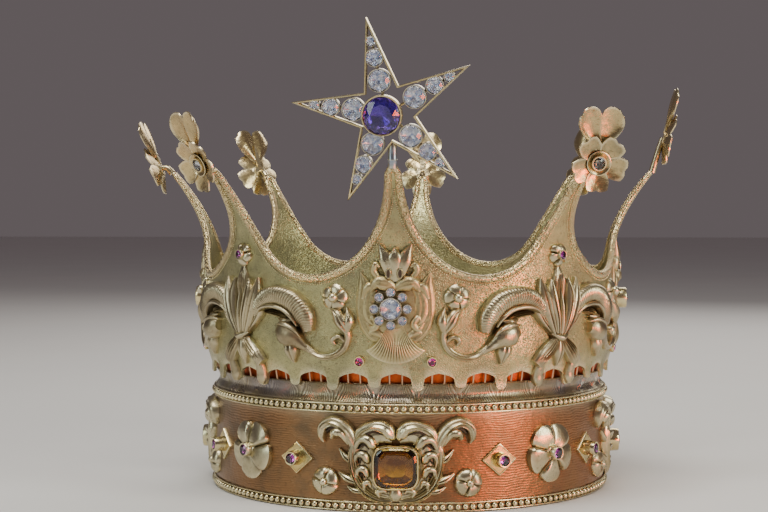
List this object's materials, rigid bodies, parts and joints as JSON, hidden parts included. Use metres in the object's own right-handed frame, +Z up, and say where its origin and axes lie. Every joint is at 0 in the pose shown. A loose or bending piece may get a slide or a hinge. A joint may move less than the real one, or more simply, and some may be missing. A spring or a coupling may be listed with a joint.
{
  "type": "ceremonial crown",
  "caption": "Open gilt crown with eight spires, a scalloped hem, jewelled cartouches and foliage, flower finials and a star of brilliants on the front spire.",
  "frame": {"origin": "On the crown's axis, level with the foot of the circlet.", "axes": "+Z up along the crown's axis, -Y to the front where the star is, +X to the crown's own left."},
  "size_m": [0.2354, 0.2329, 0.1894],
  "materials": {
    "gilt": "matte gilding with brighter edges",
    "pale_gilt": "polished pale gilding",
    "steel": "blued steel",
    "brilliant": "cut clear stone",
    "violet_stone": "cut violet stone",
    "citrine": "cut yellow stone"
  },
  "bodies": {
    "root": {"circlet": "gilt", "bead_wire_lower": "gilt", "bead_wire_upper": "gilt", "engraved_collar": "pale_gilt", "crown_body": "gilt", "cartouche_front": "gilt", "cartouche_left": "gilt", "cartouche_back": "gilt", "cartouche_right": "gilt", "gem_cluster_front": "brilliant", "gem_collet_left": "brilliant", "gem_collet_back": "brilliant", "gem_collet_right": "brilliant", "spray_front_left": "pale_gilt", "spray_back_left": "pale_gilt", "spray_back_right": "pale_gilt", "spray_front_right": "pale_gilt", "band_cartouche_front": "pale_gilt", "band_cartouche_left": "pale_gilt", "band_cartouche_back": "pale_gilt", "band_cartouche_right": "pale_gilt", "band_stone_front": "citrine", "band_stone_left": "violet_stone", "band_stone_back": "violet_stone", "band_stone_right": "violet_stone", "rosette_front_a": "gilt", "rosette_front_b": "gilt", "rosette_left_a": "gilt", "rosette_left_b": "gilt", "rosette_back_a": "gilt", "rosette_back_b": "gilt", "rosette_right_a": "gilt", "rosette_right_b": "gilt", "spire_rosette_front_left": "gilt", "spire_rosette_back_left": "gilt", "spire_rosette_back_right": "gilt", "spire_rosette_front_right": "gilt", "lozenge_front_a": "gilt", "lozenge_front_b": "gilt", "lozenge_left_a": "gilt", "lozenge_left_b": "gilt", "lozenge_back_a": "gilt", "lozenge_back_b": "gilt", "lozenge_right_a": "gilt", "lozenge_right_b": "gilt", "band_flower_front_left": "gilt", "band_flower_back_left": "gilt", "band_flower_back_right": "gilt", "band_flower_front_right": "gilt", "finial_1": "gilt", "finial_2": "gilt", "finial_3": "gilt", "finial_4": "gilt", "finial_5": "gilt", "finial_6": "gilt", "finial_7": "gilt", "star": "gilt", "star_stone": "violet_stone", "star_pin": "steel"}
  },
  "joints": []
}
